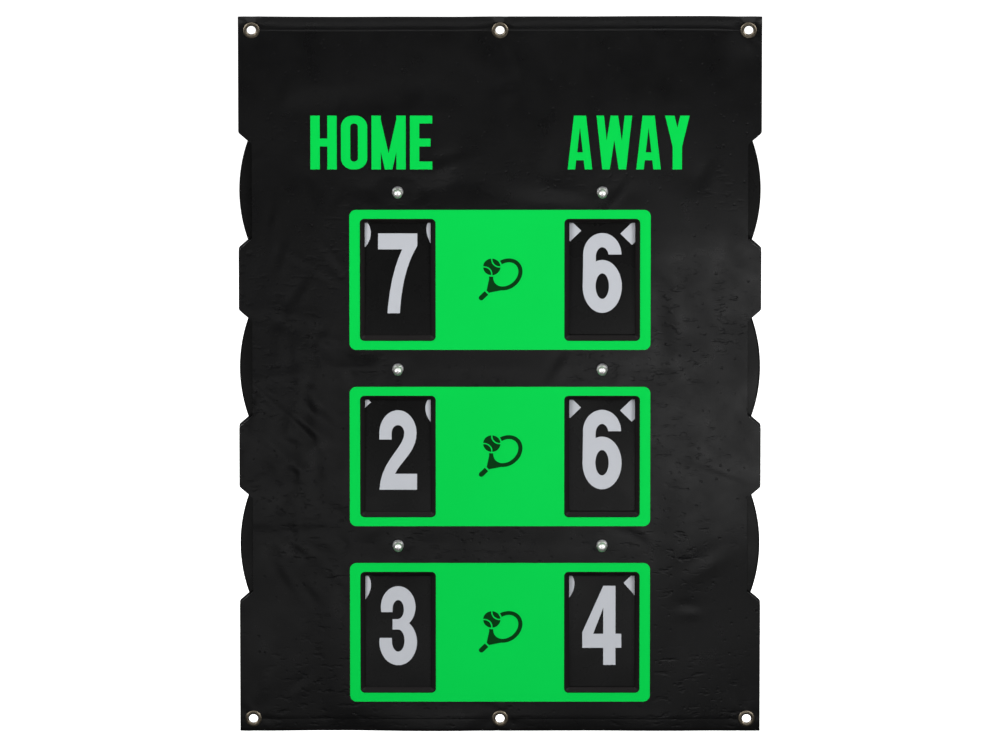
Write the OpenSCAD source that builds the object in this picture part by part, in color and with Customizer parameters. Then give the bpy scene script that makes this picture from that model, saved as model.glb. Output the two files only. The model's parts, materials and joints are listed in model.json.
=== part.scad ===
// Tennis scoring board: a tarpaulin banner that hangs by its eyelets, with six number
// discs that turn on bolts behind its windows. A finger turns each disc by the rim,
// which is bare at a notch in the side edge. Neighbouring discs overlap like roof
// tiles: each leans back by the same small angle, so every window sees its own disc.
// Millimetres. The front looks along -Y, +X is to the viewer's right and +Z is up.
// The origin is the centre of the eyelet pattern, on the front face of the banner.

/* [Banner] */
// Width of the banner
board_w = 700; // [580:5:900]
// Height of the banner
board_h = 1000; // [820:5:1300]
// Thickness of the tarpaulin
sheet_t = 1; // [0.6:0.1:1.6]
// Radius of the banner's corners
corner_r = 3; // [1:0.5:10]
// Height of the banner above the top discs' rims
crown_h = 30; // [20:1:80]
// Distance from the bottom hem up to the bottom window frames' flanges
foot_gap = 12; // [1:0.5:30]
// Height of the folded hem strips
hem_h = 36; // [34:1:42]

/* [Eyelets] */
// Diameter of the hole through an eyelet
eyelet_bore = 12; // [8:0.5:14]
// Diameter of an eyelet's flange
eyelet_od = 22.5; // [20:0.5:24]
// Distance from an eyelet's centre to the side edge
eyelet_side = 18; // [14:0.5:30]
// Distance from an eyelet's centre to the top or bottom edge
eyelet_end = 17.5; // [14:0.5:20]

/* [Discs] */
// Thickness of a number disc
disc_t = 1; // [0.8:0.1:1.6]
// Free air between two overlapping discs
disc_air = 0.55; // [0.4:0.05:1]
// Distance from a disc's rim in to the banner's side edge
rim_inset = 1; // [0:0.5:4]
// Distance from a disc's rim to the next pivot of its column
rim_to_pivot = 33.5; // [20:0.5:60]
// How much further apart the two columns' pivots are than a disc's radius
column_gap = 62; // [30:1:90]
// How many digits a disc carries, from 0 up
digit_count = 8; // [6:1:8]
// Digits shown by the left column, from the top row down
home_score = [7, 2, 3];
// Digits shown by the right column, from the top row down
away_score = [6, 6, 4];

/* [Windows] */
// Width of the sight opening in a window frame
window_w = 88; // [80:1:100]
// Distance from a pivot down to its sight opening
window_drop = 44.7; // [36:0.1:55]
// Least cover of disc beyond the foot of the sight opening
rim_cover = 10; // [6:1:20]
// Width of the sloping border of a window frame
bezel_w = 6.7; // [4:0.1:10]
// Depth of the sloping border of a window frame
bezel_d = 4; // [2.5:0.1:8]
// Width of the frame's flange behind the banner
flange_w = 6; // [4:0.5:7]
// Thickness of the frame's flange
flange_t = 1; // [0.6:0.1:1.5]
// Radius of a window frame's outer corners
frame_r = 6; // [2:0.5:6]

/* [Digits] */
// Width of a digit
digit_w = 52.5; // [40:0.5:54]
// Distance from the top of the sight opening to the top of a digit
digit_head = 15.6; // [10:0.1:20]
// Distance from the foot of a digit to the foot of the sight opening
digit_foot = 30.5; // [12:0.5:40]

/* [Print] */
// Thickness of the coloured films
film_t = 0.15; // [0.1:0.05:0.3]
// Green left on each side of a window frame
panel_side = 14; // [8:1:30]
// Green left above and below a window frame
panel_end = 12.5; // [6:0.5:20]
// Radius of a green panel's corners
panel_r = 9; // [4:1:16]
// Width of a word in the header
word_w = 163; // [120:1:180]
// Height of a word in the header
word_h = 75; // [40:1:100]
// Stroke width of the words
word_stroke = 12.5; // [8:0.5:15]
// Distance from the top pivots up to the words
word_lift = 31; // [25:1:60]
// Distance from a pivot outwards to the middle of its word
word_shift = 35; // [0:1:40]
// Size of the square that a pictogram fills
sign_size = 61; // [40:1:64]

/* [Notches] */
// Height of a notch at the banner's edge
notch_mouth = 164; // [130:1:180]
// Height of a notch at its floor
notch_floor = 132; // [100:1:150]
// Depth of a notch
notch_d = 18; // [12:0.5:22]
// Rounding of a notch's mouth corners
notch_r = 6; // [3:0.5:10]

/* [Pivots] */
// Thread diameter of a pivot screw
screw_d = 8; // [6:1:8]
// Width across the flats of a dome nut
nut_flats = 13; // [10:1:13]
// Height of a dome nut
nut_h = 15; // [12:0.5:16]
// Outer diameter of the washers under the nuts and the screw heads
washer_od = 15; // [14:0.5:18]
// Thickness of those washers
washer_t = 1.6; // [1:0.1:2]
// Diameter of a screw's button head
head_d = 14; // [12:0.5:15]
// Height of a screw's button head
head_h = 4.4; // [3:0.1:5]
// Outer diameter of the bearing sleeve
sleeve_od = 12; // [11:0.5:14]
// Outer diameter of the spacer tubes
spacer_od = 20; // [18:0.5:24]
// Radial clearance of a disc on its sleeve
running_clear = 0.06; // [0.02:0.01:0.1]
// End clearance of a disc between its spacers
end_clear = 0.4; // [0.3:0.05:0.6]
// Thickness of the back panel
back_t = 1.5; // [1:0.1:3]

/* [Hidden] */
$fn = 64;
COLUMNS = ["home", "away"];
ROWS = [0, 1, 2];

fit = 0.1;                // gap between still pieces that drop into each other
window_air = 0.6;         // gap between a window frame and the nearest digit
skin_air = 0.5;           // gap between the last disc and the back panel
eyelet_wall = 0.4;        // wall of an eyelet's barrel
eyelet_roll = 1.4;        // height of an eyelet's rolled flange
barrel_r = eyelet_bore / 2 + eyelet_wall;
screw_gap = 0.2;          // radial gap between a screw and what it passes through
nut_thread_end = 5;       // solid metal above the thread in a dome nut
rim_land = 0.8;           // flat edge around a window frame's slope
arc_step = 7.5;           // degrees between the points of a rounded outline
curve_steps = 10;         // points along a digit's free curves

// Layout in the front view. The discs are as large as the height and the width allow:
// the top rims stand a crown below the top edge, and the bottom frames clear the hem.
frame_past_rim = bezel_w + flange_w - rim_cover;
rows_h = board_h - crown_h - hem_h - foot_gap - frame_past_rim;
disc_r = min((rows_h - 2 * rim_to_pivot) / 4, (board_w - 2 * rim_inset - column_gap) / 3);
row_pitch = rows_h / 2 - disc_r;
pivot_x = board_w / 2 - rim_inset - disc_r;
function cell_x(c) = (2 * c - 1) * pivot_x;
function row_z(r) = board_h / 2 - crown_h - disc_r - r * row_pitch;
function cell_name(kind, c, r) = str(kind, "_", COLUMNS[c], "_", r + 1);

window_h = disc_r - rim_cover - window_drop;
window_mid = -window_drop - window_h / 2;
frame_size = [window_w + 2 * bezel_w, window_h + 2 * bezel_w];
panel_size = [2 * pivot_x + frame_size.x + 2 * panel_side, frame_size.y + 2 * panel_end];
digit_h = window_h - digit_head - digit_foot;
digit_top = window_drop + digit_head;
digit_angle = 45;
pivots = [for (c = [0, 1]) for (r = ROWS) [cell_x(c), row_z(r)]];
eyelet_x = board_w / 2 - eyelet_side;
eyelet_z = board_h / 2 - eyelet_end;
eyelet_spots = [for (i = [-1, 0, 1]) for (k = [-1, 1]) [i * eyelet_x, k * eyelet_z]];

// Layout in depth. Going one column to the right, a disc lies one layer further back,
// and going one row down it lies two layers further back at the same height.
layer = disc_t + film_t + disc_air;
lean = atan(2 * layer / row_pitch);
bottom_reach = (window_drop + window_h) * tan(lean);
rim_reach = disc_r * tan(lean);
function disc_y(c) = bezel_d + window_air + film_t + bottom_reach + c * layer;
back_y = disc_y(1) + rim_reach + disc_t + skin_air;
function nut_end_y() = -washer_t - nut_h + nut_thread_end;
function column_pivots(c) = [for (r = ROWS) [cell_x(c), row_z(r)]];

// Nodes ---------------------------------------------------------------------------

module front_sheet() {
    color([0.09, 0.09, 0.09]) plate(0, sheet_t) difference() {
        board_outline();
        outlines_at(pivots) {
            translate([0, window_mid]) rounded_rect(frame_size + 2 * [fit, fit], frame_r + fit);
            circle(r = screw_d / 2 + screw_gap);
        }
        outlines_at(eyelet_spots) circle(r = barrel_r + fit);
    }
}

// The edge of the tarpaulin, folded to the back and welded down.
module hem(side) {
    color([0.11, 0.11, 0.11]) plate(sheet_t, sheet_t) difference() {
        translate([0, side * (board_h - hem_h) / 2]) rounded_rect([board_w, hem_h], corner_r);
        outlines_at(eyelet_spots) circle(r = barrel_r + fit);
    }
}

module back_panel() {
    top = row_z(0) + disc_r + rim_inset;
    foot = row_z(2) - disc_r - rim_inset;
    color([0.13, 0.13, 0.13]) plate(back_y, back_t) difference() {
        intersection() {
            board_outline();
            translate([0, (top + foot) / 2]) rounded_rect([board_w, top - foot], panel_r);
        }
        outlines_at(pivots) circle(r = screw_d / 2 + screw_gap);
    }
}

// A rolled ring in front of the banner, with a barrel through the banner and its hem.
module eyelets() {
    roll = [(eyelet_od - eyelet_bore) / 4, eyelet_roll];
    color([0.62, 0.58, 0.52]) solids_at(eyelet_spots) turned(0) {
        polygon(bow([eyelet_bore / 2 + roll.x, 0], roll, 0, 180));
        translate([eyelet_bore / 2, -2 * sheet_t - 2 * eyelet_wall])
            square([eyelet_wall, 2 * sheet_t + 2 * eyelet_wall]);
    }
}

// A flat ring behind the hem, which holds the end of the barrel.
module eyelet_washers() {
    color([0.55, 0.52, 0.47]) solids_at(eyelet_spots)
        tube_between(2 * sheet_t, 2 * sheet_t + eyelet_wall, eyelet_od / 2, barrel_r + fit);
}

module green_panel(r) {
    color([0.02, 0.85, 0.31]) plate(-film_t, film_t) translate([0, row_z(r) + window_mid]) difference() {
        rounded_rect(panel_size, panel_r);
        for (c = [0, 1]) translate([cell_x(c), 0])
            rounded_rect(frame_size + 2 * [fit, fit], frame_r + fit);
    }
}

module pictogram(r) {
    color([0.03, 0.16, 0.08]) plate(-2 * film_t, film_t)
        translate([0, row_z(r) + window_mid]) scale(sign_size / 100) racket_and_ball();
}

module word(c) {
    color([0.02, 0.85, 0.31]) plate(-film_t, film_t)
        translate([cell_x(c) + (2 * c - 1) * word_shift - word_w / 2, row_z(0) + word_lift])
            letters([["H", "O", "M", "E"], ["A", "W", "A", "Y"]][c]);
}

// A border that slopes in from the banner's face to the sight opening, with mitred
// corners, and a flange that is welded to the back of the banner.
module window_frame(c, r) {
    color([0.06, 0.06, 0.06]) translate([cell_x(c), 0, row_z(r) + window_mid]) difference() {
        union() {
            plate(0, bezel_d) rounded_rect(frame_size, frame_r);
            plate(sheet_t, flange_t) rounded_rect(frame_size + 2 * [flange_w, flange_w], frame_r);
        }
        intersection() {
            sloping_cut(window_w, frame_size.y);
            rotate([0, 90, 0]) sloping_cut(window_h, frame_size.x);
            plate(-1, bezel_d + 2) rounded_rect(frame_size - 2 * [rim_land, rim_land], frame_r - rim_land);
        }
    }
}

module number_disc(c, r) {
    color([0.07, 0.07, 0.07]) on_disc(c, r) plate(0, disc_t) difference() {
        circle(r = disc_r);
        circle(r = sleeve_od / 2 + running_clear);
    }
}

module digits(c, r) {
    shown = [home_score, away_score][c][r];
    color([0.76, 0.78, 0.8]) on_disc(c, r) plate(-film_t, film_t)
        for (d = [0 : digit_count - 1]) rotate((d - shown) * digit_angle)
            translate([0, -digit_top - digit_h]) digit(d);
}

module pivot_screws() {
    head_y = back_y + back_t + washer_t;
    color([0.7, 0.7, 0.72]) solids_at(pivots) difference() {
        union() {
            rod_between(nut_end_y(), head_y, screw_d / 2);
            translate([0, head_y, 0]) rotate([-90, 0, 0]) rotate_extrude()
                polygon(concat([[0, 0]], bow([0, 0], [head_d / 2, head_h], 0, 90)));
        }
        translate([0, head_y + head_h / 3, 0]) rotate([-90, 0, 0])
            cylinder(r = screw_d / 3, h = head_h, $fn = 6);
    }
}

// A hexagon with a turned, domed cap, bored blind for the screw.
module dome_nuts() {
    dome_r = nut_flats * 0.48;
    color([0.8, 0.8, 0.82]) solids_at(pivots) difference() {
        translate([0, -washer_t, 0]) rotate([90, 0, 0]) {
            cylinder(r = nut_flats / sqrt(3), h = nut_h * 0.45, $fn = 6);
            cylinder(r = dome_r, h = nut_h - dome_r);
            translate([0, 0, nut_h - dome_r]) sphere(r = dome_r);
        }
        rod_between(nut_end_y(), 0, screw_d / 2);
    }
}

module washers(y) {
    color([0.72, 0.72, 0.74]) solids_at(pivots)
        tube_between(y, y + washer_t, washer_od / 2, screw_d / 2 + screw_gap);
}

// The sleeve stands between the banner and the back panel and takes the nut's pull.
module bearing_sleeves() {
    color([0.85, 0.85, 0.8]) solids_at(pivots)
        tube_between(sheet_t, back_y, sleeve_od / 2, screw_d / 2 + screw_gap);
}

module front_spacers(c) {
    color([0.9, 0.9, 0.86]) solids_at(column_pivots(c))
        tube_between(sheet_t, disc_y(c) - end_clear, spacer_od / 2, sleeve_od / 2 + fit);
}

module rear_spacers(c) {
    color([0.9, 0.9, 0.86]) solids_at(column_pivots(c))
        tube_between(disc_y(c) + disc_t + end_clear, back_y, spacer_od / 2, sleeve_od / 2 + fit);
}

// Places --------------------------------------------------------------------------

// Stands a front-view outline up in the board, from depth y to depth y + t.
module plate(y, t) translate([0, y + t, 0]) rotate([90, 0, 0]) linear_extrude(t) children();

module outlines_at(spots) for (p = spots) translate(p) children();

module solids_at(spots) for (p = spots) translate([p.x, 0, p.y]) children();

// Puts a piece on its disc's own leaning plane, whose zero is the disc's front face.
module on_disc(c, r) translate([cell_x(c), disc_y(c), row_z(r)]) rotate([-lean, 0, 0]) children();

// Turns a profile about the depth axis, its heights growing towards the front.
module turned(y) translate([0, y, 0]) rotate([90, 0, 0]) rotate_extrude() children();

module rod_between(y0, y1, r) translate([0, y1, 0]) rotate([90, 0, 0]) cylinder(r = r, h = y1 - y0);

module tube_between(y0, y1, outer, inner) difference() {
    rod_between(y0, y1, outer);
    rod_between(y0 - 1, y1 + 1, inner);
}

// A prism along Z, as wide as the opening behind the frame's slope and wider in front.
module sloping_cut(opening, length) {
    rise = (bezel_w - rim_land) / bezel_d;
    front = opening / 2 + bezel_w - rim_land + rise;
    linear_extrude(2 * length, center = true) polygon([
        [-front, -1], [-opening / 2, bezel_d], [-opening / 2, bezel_d + 1],
        [opening / 2, bezel_d + 1], [opening / 2, bezel_d], [front, -1]]);
}

// Outlines ------------------------------------------------------------------------

module rounded_rect(size, r) {
    square([size.x, size.y - 2 * r], center = true);
    square([size.x - 2 * r, size.y], center = true);
    for (i = [-1, 1]) for (k = [-1, 1]) translate([i * (size.x / 2 - r), k * (size.y / 2 - r)]) circle(r = r);
}

// Points on an ellipse from one angle to another.
function bow(centre, radii, from, to) =
    let (n = ceil(abs(to - from) / arc_step))
    [for (i = [0 : n]) let (a = from + (to - from) * i / n) centre + [radii.x * cos(a), radii.y * sin(a)]];

// Points on a free curve that leaves a towards b and reaches d from c.
function curve(a, b, c, d) =
    [for (i = [0 : curve_steps]) let (t = i / curve_steps, u = 1 - t)
        u * u * u * a + 3 * u * u * t * b + 3 * u * t * t * c + t * t * t * d];

// The corner at b between a and c, rounded to a radius.
function corner(a, b, c, r) =
    let (u = (a - b) / norm(a - b), v = (c - b) / norm(c - b), half = acos(u * v) / 2)
    let (o = b + (u + v) / norm(u + v) * r / sin(half))
    let (p = b + u * r / tan(half) - o, q = b + v * r / tan(half) - o)
    let (start = atan2(p.y, p.x), turn = (atan2(q.y, q.x) - start + 540) % 360 - 180)
    bow(o, [r, r], start, start + turn);

function xy(p) = [p.x, p.y];

// A closed outline through [x, y, radius] points, rounded where the radius isn't zero.
function rounded(points) =
    let (n = len(points))
    [for (i = [0 : n - 1]) let (b = points[i])
        each b[2] == 0 ? [xy(b)] : corner(xy(points[(i + n - 1) % n]), xy(b), xy(points[(i + 1) % n]), b[2])];

function round_box(size, r) =
    rounded([for (k = [[1, 1], [1, -1], [-1, -1], [-1, 1]]) [k.x * size.x / 2, k.y * size.y / 2, r]]);

// One side edge from the top down, with a notch beside each pivot.
function side_edge(side) =
    let (edge = side * board_w / 2, deep = side * (board_w / 2 - notch_d))
    [for (r = ROWS) let (z = row_z(r)) each [
        [edge, z + notch_mouth / 2, notch_r], [deep, z + notch_floor / 2, 0],
        [deep, z - notch_floor / 2, 0], [edge, z - notch_mouth / 2, notch_r]]];

module board_outline() {
    half = [board_w, board_h] / 2;
    left = side_edge(-1);
    polygon(rounded(concat(
        [[-half.x, half.y, corner_r], [half.x, half.y, corner_r]],
        side_edge(1),
        [[half.x, -half.y, corner_r], [-half.x, -half.y, corner_r]],
        [for (i = [len(left) - 1 : -1 : 0]) left[i]])));
}

// In a square of 100: a racket along the rising diagonal, with a ball above its handle.
module racket_and_ball() {
    ball = [-18, 30];
    difference() {
        rotate(45) {
            difference() {
                polygon(bow([18, 0], [40, 33], 0, 360));
                polygon(bow([18, 0], [31, 24], 0, 360));
            }
            polygon([[-38, -3.5], [-13, -20], [-16, 0], [-13, 20], [-38, 3.5]]);
        }
        translate(ball) circle(r = 22.5);
    }
    rotate(45) {
        translate([-58, -5.5]) square([16, 11]);
        translate([-58, 0]) circle(r = 5.5);
    }
    translate(ball) difference() {
        circle(r = 19);
        for (side = [-1, 1]) translate(side * [17, 17]) difference() {
            circle(r = 18.5);
            circle(r = 15.5);
        }
    }
}

// Letters, drawn with straight strokes and spread over a word's width --------------

function letter_share(c) = c == "M" ? 1.3 : c == "W" ? 1.45 : c == "E" ? 0.85 : 1;
function share_before(word, n) = n == 0 ? 0 : letter_share(word[n - 1]) + share_before(word, n - 1);

module letters(word) {
    gap = word_stroke * 0.45;
    unit = (word_w - gap * (len(word) - 1)) / share_before(word, len(word));
    for (i = [0 : len(word) - 1]) translate([unit * share_before(word, i) + gap * i, 0])
        letter(word[i], unit * letter_share(word[i]), word_h, word_stroke);
}

// A stroke from a to b whose two ends are level.
module stroke(a, b, w) polygon([[a.x - w / 2, a.y], [a.x + w / 2, a.y], [b.x + w / 2, b.y], [b.x - w / 2, b.y]]);

module bar(from, to, z, t) translate([from, z]) square([to - from, t]);

module letter(c, w, h, s) {
    left = s / 2;
    right = w - s / 2;
    t = s * 0.88;
    thin = s * 0.8;
    if (c == "H" || c == "M" || c == "E") stroke([left, 0], [left, h], s);
    if (c == "H" || c == "M") stroke([right, 0], [right, h], s);
    if (c == "H") bar(left, right, (h - t) / 2, t);
    if (c == "M") for (x = [left, right]) stroke([w / 2, 0], [x, h], thin);
    if (c == "E") for (z = [0, (h - t) / 2, h - t]) bar(left, z == 0 || z == h - t ? w : w * 0.92, z, t);
    if (c == "O") translate([w / 2, h / 2]) difference() {
        polygon(round_box([w, h], w * 0.45));
        polygon(round_box([w - 2 * s, h - 2 * t], (w - 2 * s) * 0.45));
    }
    if (c == "A") {
        for (k = [-1, 1]) stroke([w / 2 + k * (w - thin) / 2, 0], [w / 2 + k * s / 4, h], thin);
        bar(w * 0.2, w * 0.8, h * 0.17, t);
    }
    if (c == "W") {
        for (k = [-1, 1]) {
            foot = [w / 2 + k * w * 0.23, 0];
            stroke(foot, [w / 2 + k * (w - thin) / 2, h], thin);
            stroke(foot, [w / 2, h], thin);
        }
    }
    if (c == "Y") {
        for (x = [left, right]) stroke([w / 2, h * 0.42], [x, h], s);
        stroke([w / 2, 0], [w / 2, h * 0.45], s);
    }
}

// Digits, drawn on a grid 40 wide and 80 high over their middle line --------------

module on_grid(points) polygon([for (p = points) [p.x * digit_w / 40, p.y * digit_h / 80]]);

module oval(centre, radii) on_grid(bow(centre, radii, 0, 360));

module block(low, high) on_grid([low, [high.x, low.y], high, [low.x, high.y]]);

module digit(d) {
    if (d == 0) digit_0();
    if (d == 1) digit_1();
    if (d == 2) digit_2();
    if (d == 3) digit_3();
    if (d == 4) digit_4();
    if (d == 5) digit_5();
    if (d == 6) digit_6();
    if (d == 7) digit_7();
}

module digit_0() difference() {
    oval([0, 40], [20, 40]);
    oval([0, 40], [6.6, 26.5]);
}

module digit_1() on_grid(concat(
    [[-6, 0], [7, 0], [7, 80]],
    curve([-3, 80], [-5, 72], [-10, 67], [-18, 66.5]),
    [[-18, 56], [-6, 56]]));

module digit_2() on_grid(concat(
    [[-19, 0], [19.5, 0], [19.5, 16]],
    curve([-3, 16], [3, 29], [19, 38], [19, 57]),
    bow([0, 57], [19, 23], 0, 180),
    [[-19, 50.5], [-6.5, 50.5]],
    bow([0, 57], [6.5, 8], 180, 0),
    curve([6.5, 57], [6.5, 42], [-17.5, 30], [-19, 0])));

module digit_3() difference() {
    union() {
        oval([0, 59], [17.8, 21]);
        oval([0, 23.5], [19.3, 23.5]);
    }
    oval([0, 56.5], [5.8, 9.5]);
    block([-5.8, 46.7], [0, 56.5]);
    oval([0, 25], [6.5, 11.2]);
    block([-6.5, 25], [0, 36.2]);
    block([-21, 27.7], [-5.8, 53.8]);
}

module digit_4() difference() {
    on_grid([[1.5, 0], [14, 0], [14, 17.3], [20, 17.3], [20, 31.5], [14, 31.5], [14, 80], [1.5, 80],
        [-20, 33], [-20, 17.3], [1.5, 17.3]]);
    on_grid([[1.5, 31.5], [1.5, 58], [-8.8, 31.5]]);
}

module digit_5() on_grid(concat(
    [[15.5, 65], [15.5, 80], [-14.5, 80], [-18.3, 36.5]],
    bow([0, 27], [6.5, 13], 133, -167),
    bow([0, 26], [19.3, 26], 184, 466),
    [[-4, 65]]));

module digit_6() difference() {
    union() {
        difference() {
            union() {
                oval([0, 58.5], [19.5, 21.5]);
                on_grid([[-19.4, 60], [-19.9, 28], [2, 28], [2, 60]]);
            }
            oval([0, 56], [6.6, 9.8]);
            block([-6.6, 40], [6.6, 56]);
            block([0, 30], [21, 58.5]);
        }
        oval([0, 26.5], [20, 26.5]);
    }
    oval([0, 26.8], [6.8, 12.8]);
}

module digit_7() on_grid(concat(
    [[-20, 64], [-20, 80], [20, 80], [20, 67.5]],
    curve([20, 67.5], [9, 50], [3.5, 26], [2.2, 0]),
    curve([-10.5, 0], [-8.5, 26], [-3.5, 47], [4.6, 64])));

// Drawing -------------------------------------------------------------------------

front_sheet();
hem(1);  // top_hem
hem(-1);  // bottom_hem
back_panel();
eyelets();
eyelet_washers();
word(0);  // word_home
word(1);  // word_away
for (r = ROWS) {
    green_panel(r);
    pictogram(r);
}
for (c = [0, 1]) for (r = ROWS) {
    window_frame(c, r);
    number_disc(c, r);
    digits(c, r);
}
pivot_screws();
dome_nuts();
washers(-washer_t);  // front_washers
washers(back_y + back_t);  // back_washers
bearing_sleeves();
for (c = [0, 1]) {
    front_spacers(c);
    rear_spacers(c);
}
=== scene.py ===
"""Looks of a tennis scoring board: a tarpaulin banner with six number discs behind windows.

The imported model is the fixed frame. The banner, its eyelets, the window frames, the discs, the
nuts and the washers are replaced by finer pieces; the films, the back panel and the hidden
hardware stay and get a finish. Metres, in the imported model's frame: the front looks along -Y.
"""

import json
import logging
import math
from dataclasses import dataclass, field
from enum import Enum
from typing import Any

import bpy
import numpy as np
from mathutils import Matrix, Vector
from mathutils.geometry import delaunay_2d_cdt


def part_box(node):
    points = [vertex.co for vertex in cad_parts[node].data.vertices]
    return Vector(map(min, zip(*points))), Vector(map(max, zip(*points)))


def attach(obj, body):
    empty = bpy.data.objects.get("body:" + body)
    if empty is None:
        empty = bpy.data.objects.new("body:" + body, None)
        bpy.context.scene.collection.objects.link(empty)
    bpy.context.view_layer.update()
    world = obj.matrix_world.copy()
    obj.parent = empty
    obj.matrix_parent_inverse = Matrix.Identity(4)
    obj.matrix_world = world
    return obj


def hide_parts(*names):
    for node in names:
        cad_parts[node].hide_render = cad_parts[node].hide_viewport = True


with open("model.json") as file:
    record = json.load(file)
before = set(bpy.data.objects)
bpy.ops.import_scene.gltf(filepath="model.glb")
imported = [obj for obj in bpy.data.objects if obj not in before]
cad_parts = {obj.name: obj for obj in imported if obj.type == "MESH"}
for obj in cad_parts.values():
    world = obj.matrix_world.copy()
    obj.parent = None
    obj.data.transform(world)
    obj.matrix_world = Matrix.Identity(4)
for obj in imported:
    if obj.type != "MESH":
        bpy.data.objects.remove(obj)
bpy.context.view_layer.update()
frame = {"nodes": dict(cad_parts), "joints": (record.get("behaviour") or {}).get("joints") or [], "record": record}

log = logging.getLogger("scoring_board")

MM = 0.001
BOARD = "board"
COLUMNS = ("home", "away")
ROWS = (1, 2, 3)

DUST = "8C8C88"
DUST_SPACING = 9 * MM    # between two specks
WIPED_PATCH = 38 * MM    # a hand's wipe, which dulls or shines a finish
WAVE_REPEAT = 0.31       # how far apart the bands of a wave texture of scale 1 are


# Colour and nodes ---------------------------------------------------------------------


def linear(hex_colour: str) -> tuple[float, float, float, float]:
    """Turns an sRGB hex colour such as "05D94E" into linear RGBA.

    Args:
        hex_colour: six hex digits.

    Returns:
        Red, green, blue and an alpha of 1.
    """
    channels = [int(hex_colour[i : i + 2], 16) / 255 for i in (0, 2, 4)]
    curve = [c / 12.92 if c <= 0.04045 else ((c + 0.055) / 1.055) ** 2.4 for c in channels]
    return curve[0], curve[1], curve[2], 1.0


def add(
    tree: bpy.types.NodeTree, kind: str, settings: dict[str, Any], **inputs: Any
) -> bpy.types.Node:
    """Adds a node, sets it up and links it.

    Args:
        tree: the node tree.
        kind: the node's type, such as "ShaderNodeBump".
        settings: the node's own properties.
        inputs: its inputs by name, "_" for a space: a socket is linked, a value is set.

    Returns:
        The new node.
    """
    node = tree.nodes.new(kind)
    for name, value in settings.items():
        setattr(node, name, value)
    for name, value in inputs.items():
        socket = node.inputs[name.replace("_", " ")]
        if isinstance(value, bpy.types.NodeSocket):
            tree.links.new(value, socket)
        else:
            socket.default_value = value
    return node


def arithmetic(
    tree: bpy.types.NodeTree,
    operation: str,
    first: bpy.types.NodeSocket,
    second: bpy.types.NodeSocket | float,
) -> bpy.types.NodeSocket:
    """Does one sum in a node tree.

    Args:
        tree: the node tree.
        operation: what to do, such as "MULTIPLY".
        first: the first value's socket.
        second: the second value, or its socket.

    Returns:
        The result's socket.
    """
    node = add(tree, "ShaderNodeMath", {"operation": operation})
    tree.links.new(first, node.inputs[0])
    if isinstance(second, bpy.types.NodeSocket):
        tree.links.new(second, node.inputs[1])
    else:
        node.inputs[1].default_value = second
    return node.outputs[0]


class Grain(Enum):
    """The fine relief of a surface, by how it was made."""

    CALENDERED = "calendered"  # rolled sheet over a woven scrim
    MOULDED = "moulded"        # fine even spark grain from a tool
    PRINTED = "printed"        # film with a slight orange peel
    TURNED = "turned"          # fine stretched tool marks


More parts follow.
